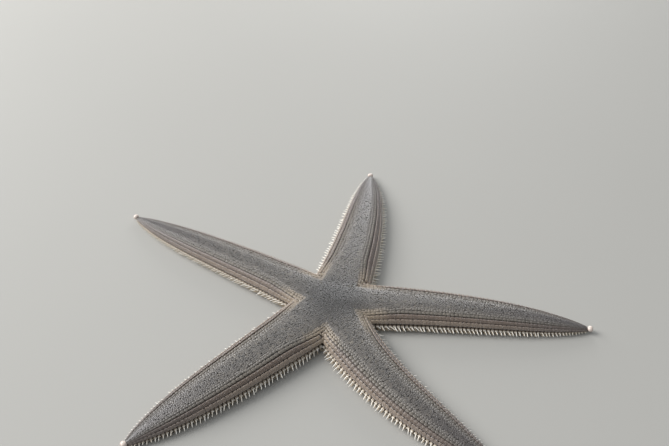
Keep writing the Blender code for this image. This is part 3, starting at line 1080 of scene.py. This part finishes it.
def plate_finish():
    finish = Finish("cream plates")
    paint = finish.blend(finish.told("lot"), tint(186, 168, 146), tint(210, 195, 174))
    paint = finish.blend(finish.between("inward", 0.3, 0.55), paint, tint(212, 196, 168))
    # Painted shade at the ribs' edges, where they meet the skin.
    paint = finish.blend(finish.told("tone") ** 0.8, tint(96, 78, 64), paint)
    grain = finish.mottle(0.3 * MM, 2.0)
    return finish.finished(
        Base_Color=finish.shade(paint, 0.75 + 0.5 * grain),
        Roughness=0.42 + 0.2 * grain,
        Normal=finish.bump(grain, 0.08 * MM),
    )


PLATE_PAINT = plate_finish()
make_ribs()

# ---- Comb of spines ------------------------------------------------------------------------------------
# Each marginal plate carries one long flat spine, cream and pointed, that stands out sideways and leans
# towards the tip of the arm, with shorter ones below it down to the floor and small ones round its base.
# The shorter ones are painted a darker tan, as painted shade under the long one.

SPINE_LENGTH = 3.1 * MM
SPINE_THINNING = 0.6
SPINE_SHARE_OF_AXIL = 0.5
SHORTEST_SPINE = 0.7 * MM
LOWEST_TIP = 0.25 * MM
SPINE_ROOT = 0.25 * MM

# How far the long spines lean towards the tip, in degrees: near the disc and near the tip, on either side.
LEANS = {
    "right": {LEFT: (25, 20), RIGHT: (42, 14)},
    "back": {LEFT: (30, 24), RIGHT: (16, 30)},
    "back_left": {LEFT: (44, 34), RIGHT: (25, 25)},
    "front_left": {LEFT: (34, 30), RIGHT: (26, 30)},
    "front": {LEFT: (32, 26), RIGHT: (10, 26)},
}
LEANS_AT = (0.15, 0.75)


def blade(outline, sides):
    """A spine along x from 0 to 1, 2 wide across y and 2 thick; outline gives its half width along it."""
    shape = Shape()
    rings = []
    for x, half in outline:
        angles = 2 * np.pi * np.arange(sides) / sides
        bow = 0.05 * x * x
        ring = [(x, half * math.cos(t), 0.9 * half**0.5 * math.sin(t) + bow) for t in angles]
        rings.append(shape.ring(ring, 0.35 + 0.65 * min(1, x * 1.6)))
    shape.close(rings, (1.0, 0.0, 0.05), 1.0)
    return shape


LONG_BLADE = blade(((0.0, 0.85), (0.15, 1.0), (0.45, 0.78), (0.75, 0.48), (0.94, 0.22)), 6)
SHORT_BLADE = blade(((0.0, 0.7), (0.45, 1.0), (0.85, 0.6)), 4)

# The spines of one plate: where they stand on the margin's height, how long, how wide and how thick they
# are against the long one, and how far they dip, in degrees.
SPINE_SET = [
    ("long", 0.70, 1.00, 1.00, 1.0, 9),
    ("second", 0.44, 0.66, 0.80, 0.9, 12),
    ("third", 0.20, 0.42, 0.70, 0.8, 8),
]
SPINE_HALF_WIDTH = 0.28 * MM
SPINE_HALF_THICKNESS = 0.22 * MM

# Lines of fine spinelets along the plates' upper edge: how high they stand on the margin, how many there
# are on a plate, and how long they are.
FRINGES = ((0.73, 4, 0.65 * MM), (0.58, 3, 0.55 * MM))
FRINGE_SPREAD = 0.62
FRINGE_FAN = 22
FRINGE_HALF_WIDTH = 0.17 * MM
FRINGE_HALF_THICKNESS = 0.1 * MM
FRINGE_ROOT = 0.12 * MM


def spine_finish(name, foot, low, high):
    """Limy spines, browner at the foot."""
    finish = Finish(name)
    paint = finish.blend(finish.told("lot"), low, high)
    paint = finish.blend(finish.told("tone"), foot, paint)
    grain = finish.mottle(0.3 * MM, 2.0)
    return finish.finished(Base_Color=finish.shade(paint, 0.9 + 0.2 * grain), Roughness=0.38 + 0.15 * grain)


def pointing(turn, side, lean, drop):
    """Frames of spines: x out to that side of a bearing, leaning to it and dropping (in degrees), z up."""
    lean, drop = np.radians(lean), np.radians(drop)
    ahead = np.column_stack([np.cos(turn), np.sin(turn)])
    aside = np.column_stack([-np.sin(turn), np.cos(turn)]) * side
    flat = ahead * np.sin(lean)[:, None] + aside * np.cos(lean)[:, None]
    x = np.column_stack([flat * np.cos(drop)[:, None], -np.sin(drop)])
    y = unit(np.column_stack([-x[:, 1], x[:, 0], np.zeros(len(x))]))
    return np.stack([x, y, np.cross(x, y)], axis=1)


def on_margin(arm, side, s, at, sunk):
    """Places on the margin, at a share of its height and sunk a little into it."""
    k = arm.thickness(s)
    foot = 0.4 * MARGIN_FOOT
    height = (foot + (MARGIN_TOP - foot) * at) * k + arm.lift(s)
    return np.column_stack([arm.plan(s, side * (arm.half_breadth(s) - sunk * k)), height])


def shrinking(arm, s):
    """How long spines are at s against the longest."""
    return (arm.half_breadth(s) / FULL_HALF_BREADTH) ** SPINE_THINNING


def make_combs():
    """Builds the combs; what the spines of one plate have in common is drawn from common."""
    draw = np.random.default_rng(33)
    for name, at, long, wide, thick, dip in SPINE_SET:
        common = np.random.default_rng(34)
        coat = Coat(draw)
        for arm, side in ARM_SIDES:
            s = plate_centres(arm, side)
            count = len(s)
            s = s + 0.05 * PLATE_PITCH * common.standard_normal(count)
            k = arm.thickness(s)
            lean = np.interp(s / arm.reach, LEANS_AT, LEANS[arm.name][side])
            lean += 6 * common.standard_normal(count)
            lean += 2 * draw.standard_normal(count)
            drop = dip + 5 * draw.standard_normal(count)
            length = SPINE_LENGTH * shrinking(arm, s) * long * (0.92 + 0.16 * draw.random(count))
            length = np.minimum(length, SPINE_SHARE_OF_AXIL * (s - arm.axil[side]) + SHORTEST_SPINE)
            places = on_margin(arm, side, s, at, SPINE_ROOT)
            deepest = np.arcsin(np.clip((places[:, 2] - LOWEST_TIP) / length, 0, 0.9))
            drop = np.minimum(drop, np.degrees(deepest))
            half = SPINE_HALF_WIDTH * wide * k**0.7
            sizes = np.column_stack([length, half, SPINE_HALF_THICKNESS * thick * k**0.5])
            roots = unwrapped(arm, s, side * (0.5 + 0.08 * (1 - at)))
            frames = pointing(arm.bearing(s), side, lean, drop)
            coat.add(LONG_BLADE, places, frames, sizes, roots, s / arm.reach)
        # The shorter spines take the darker tan, which is painted shade.
        coat.build(name + "_spines", SPINE_PAINT if name == "long" else SHADED_TAN_PAINT, "spines")


def make_fringes():
    draw = np.random.default_rng(35)
    coat = Coat(draw)
    for at, per_plate, long in FRINGES:
        for arm, side in ARM_SIDES:
            plates = plate_centres(arm, side)
            offsets = (np.arange(per_plate) + 0.5) / per_plate - 0.5
            s = (plates[:, None] + FRINGE_SPREAD * pitch_at(arm, plates)[:, None] * offsets).ravel()
            count = len(s)
            k = arm.thickness(s)
            spread = np.tile(FRINGE_FAN * offsets, len(plates))
            lean = spread + 15 + 8 * draw.standard_normal(count)
            drop = 4 + 9 * draw.standard_normal(count)
            length = long * shrinking(arm, s) * (0.85 + 0.3 * draw.random(count))
            places = on_margin(arm, side, s, at, FRINGE_ROOT)
            sizes = np.column_stack([length, FRINGE_HALF_WIDTH * k**0.7, FRINGE_HALF_THICKNESS * k**0.5])
            roots = unwrapped(arm, s, side * (0.5 + 0.06 * (1 - at)))
            frames = pointing(arm.bearing(s), side, lean, drop)
            coat.add(SHORT_BLADE, places, frames, sizes, roots, s / arm.reach)
    coat.build("fringe_spinelets", SPINE_PAINT, "spines")


SPINE_PAINT = spine_finish("cream spines", tint(206, 190, 168), tint(238, 230, 217), tint(252, 248, 240))
# The cream spines again in a darker tan, as painted shade: for the combs' lower spines and the ribs' scales.
SHADED_TAN_PAINT = spine_finish("tan spines", tint(150, 130, 108), tint(188, 172, 148), tint(208, 194, 172))
make_combs()
make_fringes()

# ---- Grooves, feet and mouth ---------------------------------------------------------------------------
# Below, a groove runs along every arm from the mouth. Small cream plates edge it, each with one spine laid
# over the groove and two turned outwards, flat scales cover the ribs, and two rows of soft pointed feet hang
# in the groove. Between the grooves five pairs of jaws with fans of spines close round the dark mouth.

GROOVE_START = 5.9 * MM
EDGE_PLATES_AT = 3.3 * MM
# Half the size of a plate there: along the arm against the pitch, then across it and upwards.
EDGE_PLATE = (0.47, 0.8 * MM, 0.42 * MM)
EDGE_PLATE_FOOT = 0.66 * MM
# The spines of a groove's edge: where each stands across and along, how high, to which side it points, how
# far it leans, how long it is.
EDGE_SPINES = [
    (2.75 * MM, 0.00, 0.46 * MM, -1, 24, 1.5 * MM),
    (3.40 * MM, -0.22, 0.27 * MM, 1, -10, 1.15 * MM),
    (3.40 * MM, 0.22, 0.27 * MM, 1, 26, 1.15 * MM),
]
EDGE_SPINE_HALF = (0.22 * MM, 0.1 * MM)
SCALES_ACROSS = (0.02, 0.18, 0.34, 0.50, 0.66, 0.82)
SCALE_SIZE = (1.25 * MM, 0.4 * MM, 0.1 * MM)
SCALE_ROOM = 3.2 * MM
FEET_AT = 1.05 * MM
FEET_START = 3.4 * MM
FOOT_SIZE = (0.52 * MM, 0.52 * MM, 1.8 * MM)
FOOT_ROOT = 2.1 * MM
JAWS_AT = 4.6 * MM
JAW_HALF = (1.5 * MM, 0.5 * MM, 0.45 * MM)
JAW_HEIGHT = 0.75 * MM
JAW_APART = 0.56 * MM
JAW_FAN = 50
JAW_SPINE = (1.25 * MM, 0.2 * MM, 0.1 * MM)
JAW_SPINE_HEIGHT = 0.42 * MM
JAW_SPINE_DROP = 6
# How many spines each half of a pair of jaws has over the mouth and beside it.
OVER_MOUTH, BESIDE_JAW = 4, 5


def below(arm, side, s, u, height):
    """Places under the arm and where they lie on the unwrapped skin."""
    around = side * (1 - 0.5 * np.minimum(u / arm.half_breadth(s), 1))
    return np.column_stack([arm.plan(s, side * u), height + arm.lift(s)]), unwrapped(arm, s, around)


def facing_down(turn, tilt):
    """Frames with x along a bearing and z down, tilted a little."""
    ahead = np.column_stack([np.cos(turn), np.sin(turn), np.zeros(len(turn))])
    down = unit(np.column_stack([tilt, -np.ones(len(turn))]))
    aside = unit(np.cross(down, ahead))
    return np.stack([np.cross(aside, down), aside, down], axis=1)


def foot_shape():
    """A tube foot: a soft cone that bends a little and ends in a point."""
    shape = Shape()
    rings = []
    for z, radius in ((0.0, 1.0), (0.3, 0.9), (0.6, 0.68), (0.86, 0.36)):
        angles = math.pi / 3 * np.arange(6)
        ring = [(radius * math.cos(t) + 0.5 * z * z, radius * math.sin(t), z) for t in angles]
        rings.append(shape.ring(ring, 0.3 + 0.7 * z))
    shape.close(rings, (0.6, 0.0, 1.0), 1.0)
    return shape


def foot_finish():
    finish = Finish("pale feet", Coat_Weight=0.4, Coat_Roughness=0.2)
    paint = finish.blend(finish.told("lot"), tint(214, 190, 152), tint(234, 214, 182))
    paint = finish.blend(finish.told("tone"), tint(176, 142, 108), paint)
    return finish.finished(Base_Color=paint, Roughness=0.35 + 0.1 * finish.mottle(0.3 * MM))


def edge_grooves(plates, spines, scales, draw):
    block = crown(5, 3.0, 1.0, [], 61)
    for arm, side in ARM_SIDES:
        s = carried_in(arm, side, GROOVE_START)
        k = arm.thickness(s)
        along = s / arm.reach
        size = np.column_stack([EDGE_PLATE[0] * pitch_at(arm, s), EDGE_PLATE[1] * k, EDGE_PLATE[2] * k])
        places, roots = below(arm, side, s, EDGE_PLATES_AT * k, EDGE_PLATE_FOOT * k)
        frames = facing_down(arm.bearing(s), 0.06 * draw.standard_normal((len(s), 2)))
        plates.add(block, places, frames, size, roots, along)
        for across, onward, height, way, lean, long in EDGE_SPINES:
            at = s + onward * PLATE_PITCH
            lean = lean + 7 * draw.standard_normal(len(s))
            drop = 5 + 2 * draw.standard_normal(len(s))
            places, roots = below(arm, side, at, across * k, height * k)
            frames = pointing(arm.bearing(at), side * way, lean, drop)
            spines.add(SHORT_BLADE, places, frames, np.outer(k, (long, *EDGE_SPINE_HALF)), roots, along)
        s = rib_centres(arm, side)
        k = arm.thickness(s)
        end = np.array([rib_end(arm, side, place) for place in s])
        end = np.where(s < arm.axil[side], end, 0.93 * end)
        inner = rib_inner(arm, s)
        room = np.clip((end - inner) / (SCALE_ROOM * k), 0.35, 1)
        for number, share in enumerate(SCALES_ACROSS):
            at = s + (0.2 if number % 2 else -0.2) * pitch_at(arm, s)
            lean = 8 * draw.standard_normal(len(s))
            drop = 3 + 1.5 * draw.standard_normal(len(s))
            places, roots = below(arm, side, at, inner + share * (end - inner), RIB_BELOW * k)
            size = np.outer(k, SCALE_SIZE)
            size[:, 0] *= room
            frames = pointing(arm.bearing(at), side, lean, drop)
            scales.add(SHORT_BLADE, places, frames, size, roots, s / arm.reach)


def make_feet(draw):
    coat = Coat(draw)
    shape = foot_shape()
    for arm, side in ARM_SIDES:
        s = carried_in(arm, side, FEET_START) + (0.25 * PLATE_PITCH if side == LEFT else 0)
        k = arm.thickness(s)
        places, roots = below(arm, side, s, FEET_AT * k, FOOT_ROOT * k)
        frames = facing_down(arm.bearing(s), 0.16 * draw.standard_normal((len(s), 2)))
        size = np.outer(k, FOOT_SIZE) * (0.9 + 0.1 * draw.random((len(s), 1)))
        coat.add(shape, places, frames, size, roots, s / arm.reach)
    coat.build("tube_feet", foot_finish(), "tube_feet")


def close_mouth(plates, spines):
    """Five pairs of jaws, one pair between each two grooves, with spines over the mouth and beside them."""
    block = crown(7, 2.6, 1.0, [], 62)
    count = OVER_MOUTH + BESIDE_JAW
    for arm in ARMS:
        corner = arm.corner() - CENTRE
        angle = math.atan2(corner[1], corner[0])
        outward = np.array([math.cos(angle), math.sin(angle)])
        across = np.array([-outward[1], outward[0]])
        frame = facing_down(np.array([angle]), np.zeros((1, 2)))
        for half in (LEFT, RIGHT):
            middle = CENTRE + JAWS_AT * outward + half * JAW_APART * across
            root = unwrapped(arm, np.array([JAWS_AT]), half * 0.9)
            plates.add(block, np.array([[*middle, JAW_HEIGHT]]), frame, np.array([JAW_HALF]), root, 0.0)
            fan = np.radians(np.linspace(0.1, 1, OVER_MOUTH) * JAW_FAN) * half
            starts = np.linspace(-1.2, 1.2, BESIDE_JAW) * MM
            turns = [*(angle + math.pi - fan), *[angle + half * math.radians(70)] * BESIDE_JAW]
            tips = [middle - 1.1 * MM * outward] * OVER_MOUTH
            tips += [middle + start * outward + half * 0.3 * MM * across for start in starts]
            places = np.column_stack([np.array(tips), np.full(count, JAW_SPINE_HEIGHT)])
            frames = pointing(np.array(turns), 0, np.full(count, 90), np.full(count, JAW_SPINE_DROP))
            size = np.tile(JAW_SPINE, (count, 1))
            size[OVER_MOUTH:, 0] *= 0.7
            roots = unwrapped(arm, np.linspace(1, 5, count) * MM, half * 0.93)
            spines.add(SHORT_BLADE, places, frames, size, roots, 0.0)


def make_underside():
    draw = np.random.default_rng(61)
    plates, spines, scales = Coat(draw), Coat(draw), Coat(draw)
    edge_grooves(plates, spines, scales, draw)
    close_mouth(plates, spines)
    plates.build("groove_plates", PLATE_PAINT, "underside")
    spines.build("groove_spines", SPINE_PAINT, "underside")
    scales.build("rib_scales", SHADED_TAN_PAINT, "underside")
    make_feet(draw)


make_underside()

# ---- Terminal plates -----------------------------------------------------------------------------------
# A single bead-like plate closes each tip, pinkish white and smooth, notched below where the groove ends.
# It is the oldest plate of the arm, and it shields the last tube foot, which bears the eye spot.

BEAD_SMOOTHNESS = 4
BEAD_HALF = (1.1 * MM, 1.3 * MM, 1.1 * MM)


def tip_finish():
    finish = Finish("pink-white bead")
    return finish.finished(
        Base_Color=finish.blend(finish.mottle(0.8 * MM), tint(196, 178, 166), tint(218, 206, 196)),
        Roughness=0.3 + 0.15 * finish.mottle(0.4 * MM),
        Normal=finish.bump(finish.mottle(0.3 * MM), 0.05 * MM),
    )


def make_tip_plates():
    paint = tip_finish()
    long, wide, high = BEAD_HALF
    for arm in ARMS:
        middle = np.mean(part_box("tip_plate_" + arm.name), axis=0)
        turn = float(arm.bearing(arm.reach - TIP_PLATE_LENGTH / 2))
        build = bmesh.new()
        bmesh.ops.create_icosphere(build, subdivisions=BEAD_SMOOTHNESS, radius=1.0)
        for vertex in build.verts:
            x, y, z = vertex.co
            lobes = 1 + 0.10 * abs(y) - 0.16 * math.exp(-((y / 0.22) ** 2)) * max(0, x)
            notch = 0.35 * math.exp(-((y / 0.3) ** 2)) * max(0, -z)
            x, y, z = long * x * lobes, wide * y, high * (z + notch)
            vertex.co = (
                middle[0] + x * math.cos(turn) - y * math.sin(turn),
                middle[1] + x * math.sin(turn) + y * math.cos(turn),
                middle[2] + z,
            )
        mesh = bpy.data.meshes.new("terminal_plate_" + arm.name)
        build.to_mesh(mesh)
        build.free()
        piece = stand(mesh, paint)
        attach(piece, "root")
        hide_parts("tip_plate_" + arm.name)


make_tip_plates()

# ---- Floor, light and camera ---------------------------------------------------------------------------
# The model lies on a plain pale floor in soft light from the left, with weaker light from behind and from
# above. It is seen from in front and above, about 30 cm away.

FLOOR_SIZE = 4.0
CAMERA_AT = (-0.0040, -0.2250, 0.2198)
CAMERA_TILT = math.radians(51.29)
CAMERA_LENS = 40.36
CAMERA_NEAR = 0.01
SKY_TINT = (0.86, 0.93, 1.0, 1.0)
SKY_STRENGTH = 0.40

# Each light: its name, where it hangs, how wide it is and its power. All face the middle of the floor.
LIGHTS = [
    ("sky_left", (-1.8, 0.55, 1.4), 1.6, 69),
    ("sky_behind", (0.15, 1.0, 0.27), 0.45, 4),
    ("sky_far_left", (-0.8, 0.7, 0.3), 0.45, 4),
    ("sky_above", (-0.35, 0.0, 1.1), 1.4, 4.5),
]


def add_light(name, place, size, power):
    data = bpy.data.lights.new(name, "AREA")
    data.shape = "DISK"
    data.size = size
    data.energy = power
    light = put(name, data)
    light.location = place
    x, y, z = place
    light.rotation_euler = (math.atan2(math.hypot(x, y), z), 0, math.atan2(x, -y))


def make_stage():
    build = bmesh.new()
    bmesh.ops.create_grid(build, x_segments=1, y_segments=1, size=FLOOR_SIZE / 2)
    mesh = bpy.data.meshes.new("floor")
    build.to_mesh(mesh)
    build.free()
    finish = Finish("pale floor", Roughness=0.8)
    colour = finish.blend(finish.mottle(0.4), tint(152, 150, 145), tint(160, 158, 153))
    floor = stand(mesh, finish.finished(Base_Color=colour))

    for light in LIGHTS:
        add_light(*light)
    world = bpy.data.worlds.new("studio")
    world.use_nodes = True
    sky = world.node_tree.nodes["Background"]
    sky.inputs["Color"].default_value = SKY_TINT
    sky.inputs["Strength"].default_value = SKY_STRENGTH
    bpy.context.scene.world = world

    data = bpy.data.cameras.new("camera")
    data.lens = CAMERA_LENS
    data.clip_start = CAMERA_NEAR
    camera = put("camera", data)
    camera.location = CAMERA_AT
    camera.rotation_euler = (CAMERA_TILT, 0, 0)
    bpy.context.scene.camera = camera
    bpy.context.scene.view_settings.view_transform = "Standard"


make_stage()
